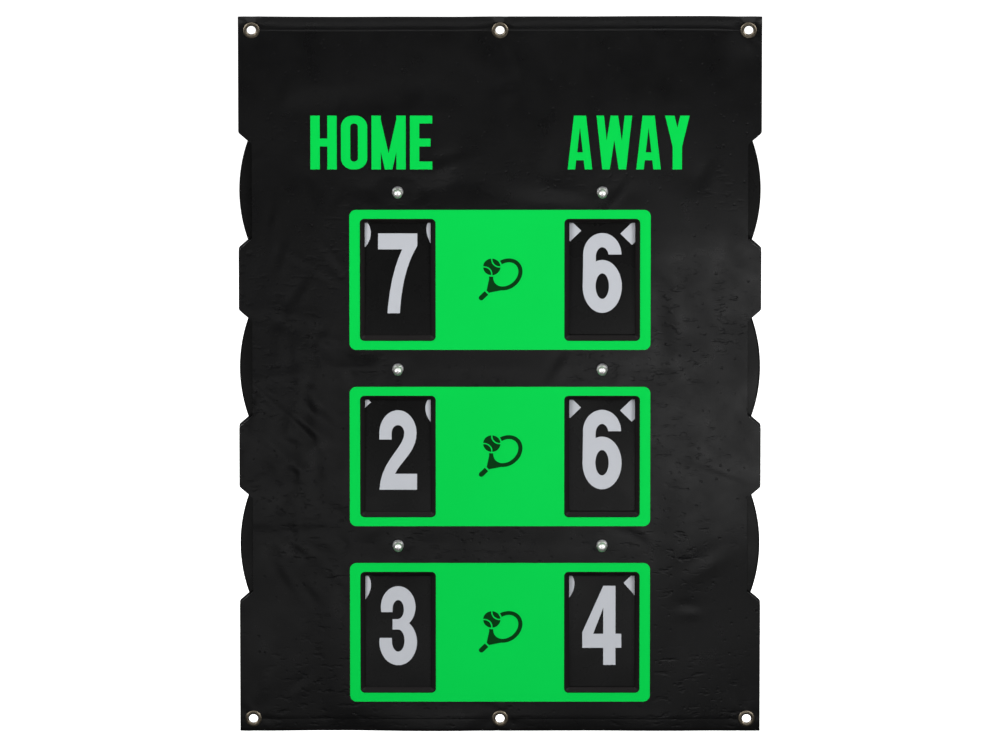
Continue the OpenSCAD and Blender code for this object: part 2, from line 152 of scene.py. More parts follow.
@dataclass(frozen=True)
class Finish:
    """A procedural finish, named for the real material.

    The colour drifts to a tint in clouds of tint_mm, and the roughness by its spread. The grain
    is a relief with a spacing and a height. Pits and dents come on calendered sheet only.
    """

    name: str
    colour: str
    tint: str
    tint_mm: float
    roughness: float
    spread: float
    grain: Grain
    grain_mm: float
    grain_height_mm: float
    metallic: float = 0.0
    ior: float = 1.5
    specular: float = 0.5
    glow: float = 0.0
    dust: float = 0.0
    pit_mm: float = 14.0
    dent_mm: float = 9.0
    dent_patch_mm: float = 135.0
    dent_top_mm: float = 200.0
    dent_fade_mm: float = 120.0

    def material(self) -> bpy.types.Material:
        """Returns the Blender material, made on first use."""
        known = bpy.data.materials.get(self.name)
        if known is not None:
            return known
        made = bpy.data.materials.new(self.name)
        made.use_nodes = True
        made.diffuse_color = linear(self.colour)
        tree = made.node_tree
        tree.nodes.clear()
        place = add(tree, "ShaderNodeTexCoord", {}).outputs["Object"]
        shader = add(
            tree, "ShaderNodeBsdfPrincipled", {},
            Base_Color=self.colour_socket(tree, place),
            Roughness=self.roughness_socket(tree, place),
            Normal=self.relief_socket(tree, place),
            Metallic=self.metallic, IOR=self.ior, Specular_IOR_Level=self.specular,
            Emission_Color=linear(self.colour), Emission_Strength=self.glow,
        )
        add(tree, "ShaderNodeOutputMaterial", {}, Surface=shader.outputs["BSDF"])
        return made

    def colour_socket(
        self, tree: bpy.types.NodeTree, place: bpy.types.NodeSocket
    ) -> bpy.types.NodeSocket:
        """Colour that drifts between two shades, with specks of dust where the finish has any.

        Args:
            tree: the material's node tree.
            place: the object coordinates.

        Returns:
            The colour socket.
        """
        cloud = add(
            tree, "ShaderNodeTexNoise", {}, Vector=place, Scale=1 / (self.tint_mm * MM), Detail=4.0
        )
        drift = add(
            tree, "ShaderNodeMix", {"data_type": "RGBA"}, Factor=cloud.outputs["Fac"],
            A=linear(self.colour), B=linear(self.tint),
        )
        if self.dust == 0:
            return drift.outputs["Result"]
        cells = add(tree, "ShaderNodeTexVoronoi", {}, Vector=place, Scale=1 / DUST_SPACING)
        speck = add(
            tree, "ShaderNodeMapRange", {}, Value=cells.outputs["Distance"],
            From_Min=0.04, From_Max=0.10, To_Min=self.dust, To_Max=0.0,
        )
        dusty = add(
            tree, "ShaderNodeMix", {"data_type": "RGBA"}, Factor=speck.outputs["Result"],
            A=drift.outputs["Result"], B=linear(DUST),
        )
        return dusty.outputs["Result"]

    def roughness_socket(
        self, tree: bpy.types.NodeTree, place: bpy.types.NodeSocket
    ) -> bpy.types.NodeSocket:
        """Roughness that drifts by the finish's spread, as handling and wiping leave it.

        Args:
            tree: the material's node tree.
            place: the object coordinates.

        Returns:
            The roughness socket.
        """
        wiped = add(tree, "ShaderNodeTexNoise", {}, Vector=place, Scale=1 / WIPED_PATCH, Detail=5.0)
        drift = add(
            tree, "ShaderNodeMapRange", {}, Value=wiped.outputs["Fac"], From_Min=0.3, From_Max=0.7,
            To_Min=self.roughness - self.spread, To_Max=self.roughness + self.spread,
        )
        return drift.outputs["Result"]

    def relief_socket(
        self, tree: bpy.types.NodeTree, place: bpy.types.NodeSocket
    ) -> bpy.types.NodeSocket:
        """The fine relief as a bumped normal.

        Args:
            tree: the material's node tree.
            place: the object coordinates.

        Returns:
            The normal socket.
        """
        pitch = 1 / (self.grain_mm * MM)
        if self.grain is Grain.TURNED:
            drawn_out = add(tree, "ShaderNodeMapping", {}, Vector=place, Scale=(0.12, 1.0, 1.0))
            place = drawn_out.outputs["Vector"]
        height = add(tree, "ShaderNodeTexNoise", {}, Vector=place, Scale=pitch, Detail=3.0).outputs["Fac"]
        if self.grain is Grain.CALENDERED:
            height = arithmetic(tree, "ADD", height, self.sheet_relief(tree, place))
        bump = add(
            tree, "ShaderNodeBump", {}, Height=height, Distance=self.grain_height_mm * MM, Strength=1.0
        )
        return bump.outputs["Normal"]

    def sheet_relief(
        self, tree: bpy.types.NodeTree, place: bpy.types.NodeSocket
    ) -> bpy.types.NodeSocket:
        """What a stored sheet shows beside its grain: the scrim, small pits, and patches of dents.

        The dents lie where a coarse cloud is bright, and nearly die out above a height.

        Args:
            tree: the material's node tree.
            place: the object coordinates.

        Returns:
            The socket of a height in grain heights.
        """
        pitch = WAVE_REPEAT / (self.grain_mm * MM)
        threads = [
            add(tree, "ShaderNodeTexWave", {"bands_direction": way}, Vector=place, Scale=pitch)
            for way in ("X", "Z")
        ]
        scrim = arithmetic(tree, "MULTIPLY", threads[0].outputs["Fac"], threads[1].outputs["Fac"])
        cells = add(tree, "ShaderNodeTexVoronoi", {}, Vector=place, Scale=1 / (self.pit_mm * MM))
        pits = add(
            tree, "ShaderNodeMapRange", {}, Value=cells.outputs["Distance"],
            From_Min=0.05, From_Max=0.16, To_Min=-6.0, To_Max=0.0,
        )
        drawn_out = add(tree, "ShaderNodeMapping", {}, Vector=place, Scale=(0.5, 1.0, 1.0))
        rumple = add(
            tree, "ShaderNodeTexNoise", {}, Vector=drawn_out.outputs["Vector"],
            Scale=1 / (self.dent_mm * MM), Detail=2.0,
        )
        dents = add(
            tree, "ShaderNodeMapRange", {}, Value=rumple.outputs["Fac"],
            From_Min=0.56, From_Max=0.72, To_Min=0.0, To_Max=-9.0,
        )
        cloud = add(
            tree, "ShaderNodeTexNoise", {}, Vector=place, Scale=1 / (self.dent_patch_mm * MM), Detail=1.0
        )
        patches = add(
            tree, "ShaderNodeMapRange", {}, Value=cloud.outputs["Fac"], From_Min=0.40, From_Max=0.56
        )
        level = add(tree, "ShaderNodeSeparateXYZ", {}, Vector=place).outputs["Z"]
        smooth_top = add(
            tree, "ShaderNodeMapRange", {}, Value=level, From_Min=self.dent_top_mm * MM,
            From_Max=(self.dent_top_mm + self.dent_fade_mm) * MM, To_Min=1.0, To_Max=0.15,
        )
        dented = arithmetic(tree, "MULTIPLY", dents.outputs["Result"], patches.outputs["Result"])
        dented = arithmetic(tree, "MULTIPLY", dented, smooth_top.outputs["Result"])
        marked = arithmetic(tree, "ADD", dented, pits.outputs["Result"])
        return arithmetic(tree, "ADD", marked, arithmetic(tree, "MULTIPLY", scrim, 0.35))


# Meshes -------------------------------------------------------------------------------


def mesh_piece(
    name: str, points: np.ndarray, faces: list[list[int]], finish: Finish
) -> bpy.types.Object:
    """Makes a piece from points and faces, smooth except over edges sharper than 30 degrees.

    Args:
        name: the piece's name.
        points: (n, 3) places in metres.
        faces: lists of point numbers, all turned the same way round.
        finish: its finish.

    Returns:
        The new object, at the origin.
    """
    mesh = bpy.data.meshes.new(name)
    mesh.from_pydata(points.tolist(), [], faces)
    mesh.validate()
    mesh.shade_smooth()
    mesh.set_sharp_from_angle(angle=math.radians(30))
    mesh.materials.append(finish.material())
    piece = bpy.data.objects.new(name, mesh)
    bpy.context.scene.collection.objects.link(piece)
    return piece


def skin(rings: np.ndarray, ring_shaped: bool) -> list[list[int]]:
    """Faces between successive closed rings of points.

    Args:
        rings: (m, n, 3) rings, one after another along the profile.
        ring_shaped: whether the last ring joins the first, or both ends are closed by a fan
            to a pole, which follows the ring points in the point list.

    Returns:
        The faces.
    """
    m, n, _ = rings.shape
    i, j = np.meshgrid(np.arange(m if ring_shaped else m - 1), np.arange(n), indexing="ij")
    following, beside = (i + 1) % m, (j + 1) % n
    corners = [i * n + j, i * n + beside, following * n + beside, following * n + j]
    faces = np.stack(corners, -1).reshape(-1, 4).tolist()
    if ring_shaped:
        return faces
    around = np.arange(n)
    beside = (around + 1) % n
    start = np.stack([beside, around, np.full(n, m * n)], -1)
    end = np.stack([(m - 1) * n + around, (m - 1) * n + beside, np.full(n, m * n + 1)], -1)
    return faces + start.tolist() + end.tolist()


def outward(points: np.ndarray, faces: list[list[int]]) -> list[list[int]]:
    """Turns all faces round if they enclose a negative volume.

    Args:
        points: (n, 3) places.
        faces: triangles and quads, all turned the same way round.

    Returns:
        The faces, pointing outwards.
    """
    fans = np.array([[f[0], f[k], f[k + 1]] for f in faces for k in range(1, len(f) - 1)])
    a, b, c = points[fans[:, 0]], points[fans[:, 1]], points[fans[:, 2]]
    volume = float((a * np.cross(b, c)).sum())
    return faces if volume > 0 else [f[::-1] for f in faces]


def lofted(
    name: str, rings: np.ndarray, ring_shaped: bool, spots: np.ndarray, finish: Finish
) -> bpy.types.Object:
    """A closed piece skinned over rings and repeated at several places.

    Args:
        name: the piece's name.
        rings: (m, n, 3) rings about the local origin.
        ring_shaped: whether the profile closes on itself.
        spots: (k, 3) places of the copies.
        finish: its finish.

    Returns:
        The new object.
    """
    points = rings.reshape(-1, 3)
    if not ring_shaped:
        points = np.vstack([points, rings[0].mean(0), rings[-1].mean(0)])
    faces = outward(points, skin(rings, ring_shaped))
    count = len(points)
    everywhere = (points[None] + spots[:, None]).reshape(-1, 3)
    copied = [[v + k * count for v in f] for k in range(len(spots)) for f in faces]
    return mesh_piece(name, everywhere, copied, finish)


def turned_rings(
    profile: list[tuple[float, float]], segments: int, axis: Vector | None = None
) -> np.ndarray:
    """Turns a profile about an axis: radius times the circle, plus depth along the axis.

    Args:
        profile: (radius, depth) pairs in metres.
        segments: points round each ring.
        axis: the direction that depth grows in, backwards (+Y) if not given.

    Returns:
        (m, segments, 3) rings.
    """
    along = np.array(axis if axis is not None else (0.0, 1.0, 0.0), float)
    across = np.array((1.0, 0.0, 0.0))
    up = np.cross(across, along)
    angle = np.arange(segments) * 2 * math.pi / segments
    circle = np.cos(angle)[:, None] * across + np.sin(angle)[:, None] * up
    radius, depth = np.array(profile, float).T
    return radius[:, None, None] * circle + depth[:, None, None] * along


def rounded_loop(half: tuple[float, float], radius: float, per_corner: int = 8) -> np.ndarray:
    """Points round a rectangle with rounded corners, the same number for every size.

    Args:
        half: half of the width and of the height.
        radius: the corner radius.
        per_corner: steps in each corner's quarter circle.

    Returns:
        (n, 2) points, anticlockwise from the right.
    """
    quarter = np.linspace(0, math.pi / 2, per_corner + 1)
    angle = np.concatenate([quarter + k * math.pi / 2 for k in range(4)])
    sign = np.repeat([[1, 1], [-1, 1], [-1, -1], [1, -1]], per_corner + 1, axis=0)
    centre = sign * (np.array(half) - radius)
    return centre + radius * np.stack([np.cos(angle), np.sin(angle)], -1)


def circle_loop(radius: float, segments: int = 40) -> np.ndarray:
    """Returns (segments, 2) points round a circle, anticlockwise."""
    angle = np.arange(segments) * 2 * math.pi / segments
    return radius * np.stack([np.cos(angle), np.sin(angle)], -1)


def inside(loop: np.ndarray, points: np.ndarray) -> np.ndarray:
    """Which points lie inside a closed loop, by counting the edges to their right.

    Args:
        loop: (m, 2) corners.
        points: (n, 2) points.

    Returns:
        (n,) truth values.
    """
    x, z = points.T
    found = np.zeros(len(points), bool)
    for (x0, z0), (x1, z1) in zip(loop, np.roll(loop, -1, axis=0)):
        if z0 != z1:
            crosses = (z0 > z) != (z1 > z)
            found ^= crosses & (x < x0 + (z - z0) * (x1 - x0) / (z1 - z0))
    return found


def spaced(loop: np.ndarray, step: float) -> np.ndarray:
    """Adds points to a closed loop's long edges, so that none is longer than a step.

    Args:
        loop: (m, 2) corners.
        step: the longest edge allowed.

    Returns:
        (n, 2) corners.
    """
    pieces = []
    for start, end in zip(loop, np.roll(loop, -1, axis=0)):
        parts = max(1, math.ceil(np.linalg.norm(end - start) / step))
        pieces.append(start + (end - start) * (np.arange(parts) / parts)[:, None])
    return np.concatenate(pieces)


def walled(
    points: np.ndarray, triangles: np.ndarray, thickness: float
) -> tuple[np.ndarray, list[list[int]]]:
    """Gives a surface a wall: both faces stand off it along its normals, and quads close the rim.

    A point's normal is the sum of the cross products of the triangles round it.

    Args:
        points: (n, 3) places on the middle of the wall.
        triangles: (m, 3) point numbers, turned so that the normals point outwards.
        thickness: the wall's thickness in metres.

    Returns:
        The points and the faces of the closed wall.
    """
    a, b, c = (points[triangles[:, k]] for k in range(3))
    face_normals = np.cross(b - a, c - a)
    normals = np.zeros_like(points)
    for k in range(3):
        np.add.at(normals, triangles[:, k], face_normals)
    normals /= np.linalg.norm(normals, axis=1)[:, None]
    offset = normals * thickness / 2
    count = len(points)
    edges = np.concatenate([triangles[:, [0, 1]], triangles[:, [1, 2]], triangles[:, [2, 0]]])
    key = np.sort(edges, axis=1) @ np.array([count, 1])
    _, first, uses = np.unique(key, return_index=True, return_counts=True)
    rim = edges[first[uses == 1]]
    rim_quads = np.stack([rim[:, 1], rim[:, 0], rim[:, 0] + count, rim[:, 1] + count], -1)
    faces = triangles.tolist() + (triangles[:, ::-1] + count).tolist() + rim_quads.tolist()
    return np.concatenate([points + offset, points - offset]), faces


# Pieces -------------------------------------------------------------------------------


@dataclass
class Layout:
    """Places that the other classes share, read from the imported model."""

    pivots: dict[str, np.ndarray] = field(default_factory=dict)
    axes: dict[str, Vector] = field(default_factory=dict)
    windows: dict[str, np.ndarray] = field(default_factory=dict)
    window_half: tuple[float, float] = (0.0, 0.0)
    flange: float = 6.0 * MM
    bezel: float = 6.7 * MM
    eyelet_flange: float = 11.25 * MM
    eyelets: np.ndarray = field(default_factory=lambda: np.zeros((6, 3)))
    panels: list[np.ndarray] = field(default_factory=list)
    words: list[np.ndarray] = field(default_factory=list)
    half: tuple[float, float] = (0.35, 0.5)

    def read(self) -> "Layout":
        """Fills the places in from the frame's joints, boxes and mounts.

        Returns:
            The layout itself.
        """
        for joint in frame["joints"]:
            cell = joint["name"].removeprefix("turn_")
            self.pivots[cell] = np.array(joint["pos_m"])
            self.axes[cell] = Vector(joint["axis"]).normalized()
            low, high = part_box(f"window_frame_{cell}")
            self.windows[cell] = np.array([(low.x + high.x) / 2, 0.0, (low.z + high.z) / 2])
            self.window_half = ((high.x - low.x) / 2 - self.flange, (high.z - low.z) / 2 - self.flange)
        mount = next(m for m in frame["record"]["mounts"] if m["name"] == "corner_eyelets")
        across, up = (mount["dims"][k] * MM / 2 for k in ("spacing_x_mm", "spacing_y_mm"))
        self.eyelets = np.array([[i * across, 0.0, k * up] for i in (-1, 0, 1) for k in (-1, 1)])
        self.panels = [self.face_of(f"green_panel_{row}") for row in ROWS]
        self.words = [self.face_of(f"word_{column}") for column in COLUMNS]
        low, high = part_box("front_sheet")
        self.half = (high.x, high.z)
        return self

    @staticmethod
    def face_of(node: str) -> np.ndarray:
        """Returns a flat node's rectangle in the front view, [[low x, low z], [high x, high z]]."""
        low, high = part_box(node)
        return np.array([[low.x, low.z], [high.x, high.z]])

    def screws(self) -> np.ndarray:
        """Returns the six screws' places on the banner's front face."""
        return np.array([[p[0], 0.0, p[2]] for p in self.pivots.values()])


@dataclass
class Banner:
    """The black tarpaulin: one cut whose top and bottom edges are folded back and welded."""

    layout: Layout
    finish: Finish
    thickness: float = 1.0 * MM
    hem: float = 36.0 * MM
    notch_mouth: float = 164.0 * MM
    notch_floor: float = 132.0 * MM
    notch_depth: float = 18.0 * MM
    notch_round: float = 6.0 * MM
    screw_hole: float = 4.2 * MM
    eyelet_hole: float = 6.5 * MM
    window_gap: float = 0.1 * MM
    window_round: float = 6.1 * MM
    mesh_step: float = 4.6 * MM
    groove_depth: float = 0.7 * MM
    groove_width: float = 2.2 * MM
    strip_lean: float = 4.2 * MM
    seed: int = 11
    chunk: int = 4000

    @property
    def fold_radius(self) -> float:
        """Half of the thickness: the middle line of the sheet turns round its own back face."""
        return self.thickness / 2

    @property
    def flat_half(self) -> float:
        """Half of the length of the front, from fold to fold."""
        return self.layout.half[1] - self.fold_radius

    @property
    def cut_half(self) -> float:
        """Half of the length of the whole cut, hems laid out flat."""
        return self.flat_half + math.pi * self.fold_radius + self.hem - self.fold_radius

    def notched_edge(self, side: int) -> np.ndarray:
        """One side edge from the bottom up, with a notch beside each pivot.

        Args:
            side: 1 for the right edge and -1 for the left one.

        Returns:
            (n, 2) points; each mouth corner is an arc between the edge and the slope.
        """
        edge, floor = self.layout.half[0], self.layout.half[0] - self.notch_depth
        slope = (self.notch_mouth - self.notch_floor) / 2
        lean = math.atan2(self.notch_depth, slope)
        reach = self.notch_round * math.tan(lean / 2)
        turn = np.linspace(0, lean, 6)
        arc_x = edge - self.notch_round * (1 - np.cos(turn))
        arc_z = self.notch_round * np.sin(turn) - reach
        points = []
        for z in sorted({round(float(p[2]), 6) for p in self.layout.pivots.values()}):
            mouth, foot = z - self.notch_mouth / 2, z + self.notch_mouth / 2
            points.append(np.stack([arc_x, mouth + arc_z], -1))
            points.append(np.array([[floor, z - self.notch_floor / 2], [floor, z + self.notch_floor / 2]]))
            points.append(np.stack([arc_x[::-1], foot - arc_z[::-1]], -1))
        return np.concatenate(points) * (side, 1)

    def outline(self) -> np.ndarray:
        """The whole cut's outline, laid out flat.

        Returns:
            (n, 2) points: x, and the length along the sheet.
        """
        x, end = self.layout.half[0], self.cut_half
        right, left = self.notched_edge(1), self.notched_edge(-1)[::-1]
        corners = [np.array([[-x, -end], [x, -end]]), right, np.array([[x, end], [-x, end]]), left]
        return spaced(np.concatenate(corners), 0.8 * self.mesh_step)

    def holes(self) -> list[np.ndarray]:
        """Loops of every hole in the flat cut; an eyelet's hole comes in the front and in the hem.

        Returns:
            One (n, 2) loop for each hole.
        """
        grow = self.window_gap
        half = (self.layout.window_half[0] + grow, self.layout.window_half[1] + grow)
        window = rounded_loop(half, self.window_round, 6)
        screw, eyelet = circle_loop(self.screw_hole, 24), circle_loop(self.eyelet_hole, 28)
        loops = [spaced(window + spot[[0, 2]], self.mesh_step) for spot in self.layout.windows.values()]
        loops += [screw + spot[[0, 2]] for spot in self.layout.screws()]
        turn = 2 * (self.flat_half + math.pi * self.fold_radius / 2)
        for spot in self.layout.eyelets[:, [0, 2]]:
            hem_spot = np.array([spot[0], math.copysign(turn, spot[1]) - spot[1]])
            loops += [eyelet + spot, eyelet + hem_spot]
        return loops

    def laid_out(self) -> tuple[np.ndarray, np.ndarray]:
        """Meshes the flat cut: a grid of points joined to the outline and the holes.

        Grid points too near a loop or a groove row are left out, so that no triangle is thin.
        Their distances are taken a chunk at a time, to save memory.

        Returns:
            (n, 2) points and (m, 3) triangles.
        """
        loops = [self.outline(), *self.holes()]
        x = np.arange(-self.layout.half[0], self.layout.half[0], self.mesh_step)
        groove = self.groove_rows()
        length = np.arange(-self.cut_half, self.cut_half, self.mesh_step)
        length = length[np.abs(length[:, None] - groove).min(1) > 0.4 * self.mesh_step]
        length = np.concatenate([length, groove])
        grid = np.stack(np.meshgrid(x, length), -1).reshape(-1, 2)
        grid = grid[inside(loops[0], grid)]
        for loop in loops:
            low, high = loop.min(0) - 10 * MM, loop.max(0) + 10 * MM
            index = np.flatnonzero(np.all((grid > low) & (grid < high), axis=1))
            for part in np.array_split(index, max(1, len(index) // self.chunk)):
                gap = np.linalg.norm(grid[part][:, None] - loop[None], axis=2).min(1)
                grid[part[gap < 0.45 * self.mesh_step]] = np.nan
            grid = grid[~np.isnan(grid[:, 0])]
        for loop in loops[1:]:
            grid = grid[~inside(loop, grid)]
        edges, start = [], 0
        for loop in loops:
            number = start + np.arange(len(loop))
            edges.append(np.stack([number, np.roll(number, -1)], -1))
            start += len(loop)
        points = np.concatenate([*loops, grid])
        found = delaunay_2d_cdt(
            [Vector(p) for p in points.tolist()], np.concatenate(edges).tolist(), [], 0, 1e-7, False
        )
        points, triangles = np.array([tuple(p) for p in found[0]]), np.array(found[2])
        middle = points[triangles].mean(1)
        kept = inside(loops[0], middle)
        for loop in loops[1:]:
            kept &= ~inside(loop, middle)
        return points, triangles[kept]

    def groove_rows(self) -> np.ndarray:
        """Lengths of the extra rows of points: across each fold and along each weld groove.

        Returns:
            The rows' lengths along the cut, at both ends.
        """
        fold = self.flat_half + math.pi * self.fold_radius * np.linspace(0, 1, 5)
        across_groove = np.array([-0.24, -0.12, 0.0, 0.5, 1.0, 2.0])
        weld = abs(self.layout.eyelets[0, 2]) + self.groove_width * across_groove
        rows = np.concatenate([fold, weld])
        return np.concatenate([-rows[::-1], rows])

    def folded(self, flat: np.ndarray) -> np.ndarray:
        """Folds the flat cut: a straight front, a half circle at each end, and a straight hem.

        Args:
            flat: (n, 2) points of the flat cut.

        Returns:
            (n, 3) points on the middle line of the sheet.
        """
        x, length = flat.T
        r = self.fold_radius
        past = np.maximum(np.abs(length) - self.flat_half, 0)
        angle = np.minimum(past / r, math.pi)
        hem = np.maximum(past - math.pi * r, 0)
        z = np.sign(length) * (np.minimum(np.abs(length), self.flat_half) + r * np.sin(angle) - hem)
        y = r + r * (1 - np.cos(angle))
        return np.stack([x, y, z], -1)

    def build(self) -> bpy.types.Object:
        """Makes the banner, wrinkles it and lets it stand for the flat solids.

        Returns:
            The piece.
        """
        flat, triangles = self.laid_out()
        points = self.folded(flat)
        points[:, 1] += Wrinkles(self.layout, self).depth(points[:, 0], points[:, 2])
        a, b, c = (points[triangles[:, k]] for k in range(3))
        normal = np.cross(b - a, c - a)
        front = np.abs(flat[triangles][:, :, 1]).max(1) < self.flat_half
        if normal[front, 1].sum() > 0:
            triangles = triangles[:, ::-1]
        piece = mesh_piece("banner", *walled(points, triangles, self.thickness), self.finish)
        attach(piece, BOARD)
        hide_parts("front_sheet", "top_hem", "bottom_hem")
        return piece


@dataclass
class Wrinkles:
    """How far the banner stands off its flat shape, in metres and growing backwards."""

    layout: Layout
    banner: Banner
    nut_flat: float = 9 * MM
    eyelet_flat: float = 11 * MM
    billow: float = 1.8 * MM
    billow_lengths: tuple[float, float] = (0.15, 0.42)
    billow_waves: int = 7
    billow_margin: float = 45 * MM
    crease: float = 0.45 * MM
    creases: int = 130
    crease_lengths: tuple[float, float] = (0.012, 0.045)
    crease_widths: tuple[float, float] = (0.004, 0.009)
    crease_margin: float = 8 * MM
    stored_place: tuple[float, float] = (-0.26, -0.04)
    stored_spread: tuple[float, float] = (0.035, 0.16)
    stored_heading: tuple[float, float] = (1.9, 0.5)
    pucker: float = 0.45 * MM
    pucker_off: float = 4 * MM
    pucker_fade: float = 7 * MM
    hem_margin: float = 5 * MM
    foot_share: float = 0.15

    def calm(self, x: np.ndarray, z: np.ndarray, margin: float) -> np.ndarray:
        """0 on the films, windows and nuts that need a flat sheet, rising to 1 a margin away.

        Args:
            x: (n,) places across.
            z: (n,) heights.
            margin: how far it takes to rise, in metres.

        Returns:
            (n,) shares.
        """
        share = np.ones_like(x)
        areas = self.layout.panels + self.layout.words
        for spots, flat in ((self.layout.screws(), self.nut_flat), (self.layout.eyelets, self.eyelet_flat)):
            areas += [np.array([p[[0, 2]] - flat, p[[0, 2]] + flat]) for p in spots]
        for low, high in areas:
            away_x = np.maximum(np.maximum(low[0] - x, x - high[0]), 0)
            away_z = np.maximum(np.maximum(low[1] - z, z - high[1]), 0)
            t = np.clip(np.hypot(away_x, away_z) / margin, 0, 1)
            share = np.minimum(share, t * t * (3 - 2 * t))
        return share

    def billows(self, x: np.ndarray, z: np.ndarray, rng: np.random.Generator) -> np.ndarray:
        """Long shallow waves: a sum of cosines in random directions, the longer the higher.

        Args:
            x: (n,) places across.
            z: (n,) heights.
            rng: the random draws.

        Returns:
            (n,) depths.
        """
        total = np.zeros_like(x)
        shortest, longest = self.billow_lengths
        for length in np.linspace(shortest, longest, self.billow_waves):
            heading, phase = rng.uniform(0, math.pi), rng.uniform(0, 2 * math.pi)
            along = x * math.cos(heading) + z * math.sin(heading)
            total += length / longest * np.cos(2 * math.pi * along / length + phase)
        return self.billow * total / 2

    def creased(self, x: np.ndarray, z: np.ndarray, rng: np.random.Generator) -> np.ndarray:
        """Short creases: a ridge beside a valley, fading out along a bell curve.

        Two in three lie left of the windows, where the banner was folded for storing.

        Args:
            x: (n,) places across.
            z: (n,) heights.
            rng: the random draws.

        Returns:
            (n,) depths.
        """
        total = np.zeros_like(x)
        half_x, half_z = self.layout.half
        for number in range(self.creases):
            if number % 3 != 0:
                centre_x = rng.normal(self.stored_place[0], self.stored_spread[0])
                centre_z = rng.normal(self.stored_place[1], self.stored_spread[1])
                heading = rng.normal(*self.stored_heading)
            else:
                centre_x, centre_z = rng.uniform(-half_x, half_x), rng.uniform(-half_z, half_z)
                heading = rng.uniform(0, math.pi)
            long, wide = rng.uniform(*self.crease_lengths), rng.uniform(*self.crease_widths)
            along = (x - centre_x) * math.cos(heading) + (z - centre_z) * math.sin(heading)
            across = -(x - centre_x) * math.sin(heading) + (z - centre_z) * math.cos(heading)
            bell = np.exp(0.5 - (across / wide) ** 2 / 2 - (along / long) ** 2)
            total += rng.uniform(0.4, 1.0) * across / wide * bell
        return self.crease * total

    def hems(self, z: np.ndarray) -> np.ndarray:
        """A groove pressed in along each row of eyelets, and a strip beyond it that leans back.

        The groove drops steeply on the side of the middle, as a bell curve, and comes up slowly
        on the side of the edge, as a dying exponential. The bottom has only a share of both.

        Args:
            z: (n,) heights.

        Returns:
            (n,) depths.
        """
        row = abs(self.layout.eyelets[0, 2])
        off = np.abs(z) - row
        width = self.banner.groove_width
        drop = np.exp(-((np.minimum(off, 0) / (0.12 * width)) ** 2))
        groove = self.banner.groove_depth * drop * np.exp(-np.maximum(off, 0) / width)
        strip = np.clip(off / (self.layout.half[1] - row), 0, 1)
        return np.where(z > 0, 1.0, self.foot_share) * (groove + self.banner.strip_lean * strip**1.5)

    def puckers(self, x: np.ndarray, z: np.ndarray) -> np.ndarray:
        """Rays round each eyelet: cosines of the angle, highest just off its flange.

        Args:
            x: (n,) places across.
            z: (n,) heights.

        Returns:
            (n,) depths.
        """
        total = np.zeros_like(x)
        for number, spot in enumerate(self.layout.eyelets):
            away = np.hypot(x - spot[0], z - spot[2]) - self.layout.eyelet_flange
            angle = np.arctan2(z - spot[2], x - spot[0])
            rays = np.cos(5 * angle + number) + 0.6 * np.cos(8 * angle - 2 * number)
            total += rays * np.exp(-np.abs(away - self.pucker_off) / self.pucker_fade) * (away > 0)
        return self.pucker * total

    def depth(self, x: np.ndarray, z: np.ndarray) -> np.ndarray:
        """The sum of all of it, held flat where films and hardware lie.

        Args:
            x: (n,) places across.
            z: (n,) heights.

        Returns:
            (n,) depths.
        """
        rng = np.random.default_rng(self.banner.seed)
        wide = self.calm(x, z, self.billow_margin) * self.billows(x, z, rng)
        fine = self.calm(x, z, self.crease_margin) * (self.creased(x, z, rng) + self.puckers(x, z))
        hems = self.calm(x, z, self.hem_margin) * self.hems(z)
        return wide + fine + hems


@dataclass
class WindowFrames:
    """Moulded frames: a land flush with the banner, a slope in to the opening, and a flange behind."""

    layout: Layout
    finish: Finish
    depth: float = 4.0 * MM
    outer_round: float = 6.0 * MM
    inner_round: float = 0.5 * MM
    land: float = 0.8 * MM
    edge: float = 0.35 * MM
    sheet: float = 1.0 * MM

    def profile(self) -> list[tuple[float, float]]:
        """The section of a frame.

        Returns:
            (distance out from the opening, depth) pairs, going once round.
        """
        out, soft = self.layout.bezel, self.edge
        return [
            (out, self.sheet), (out, soft), (out - 0.3 * soft, 0.3 * soft), (out - soft, 0.0),
            (out - self.land, 0.0), (out - self.land - soft, 0.15 * soft),
            (0.8 * soft, self.depth - soft), (0.0, self.depth),
            (out, self.depth), (out, 2 * self.sheet),
            (out + self.layout.flange, 2 * self.sheet), (out + self.layout.flange, self.sheet),
        ]

    def rings(self) -> np.ndarray:
        """Carries the section round the opening: each of its points makes one rounded rectangle.

        Returns:
            (m, n, 3) rings.
        """
        half_x, half_z = (h - self.layout.bezel for h in self.layout.window_half)
        rings = []
        for out, depth in self.profile():
            share = min(out / self.layout.bezel, 1.0)
            radius = self.inner_round + (self.outer_round - self.inner_round) * share
            loop = rounded_loop((half_x + out, half_z + out), radius)
            rings.append(np.stack([loop[:, 0], np.full(len(loop), depth), loop[:, 1]], -1))
        return np.array(rings)

    def build(self) -> list[bpy.types.Object]:
        """Makes one frame for each window.

        Returns:
            The pieces.
        """
        pieces = []
        for cell, spot in self.layout.windows.items():
            piece = lofted(f"bezel_{cell}", self.rings(), True, spot[None], self.finish)
            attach(piece, BOARD)
            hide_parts(f"window_frame_{cell}")
            pieces.append(piece)
        return pieces


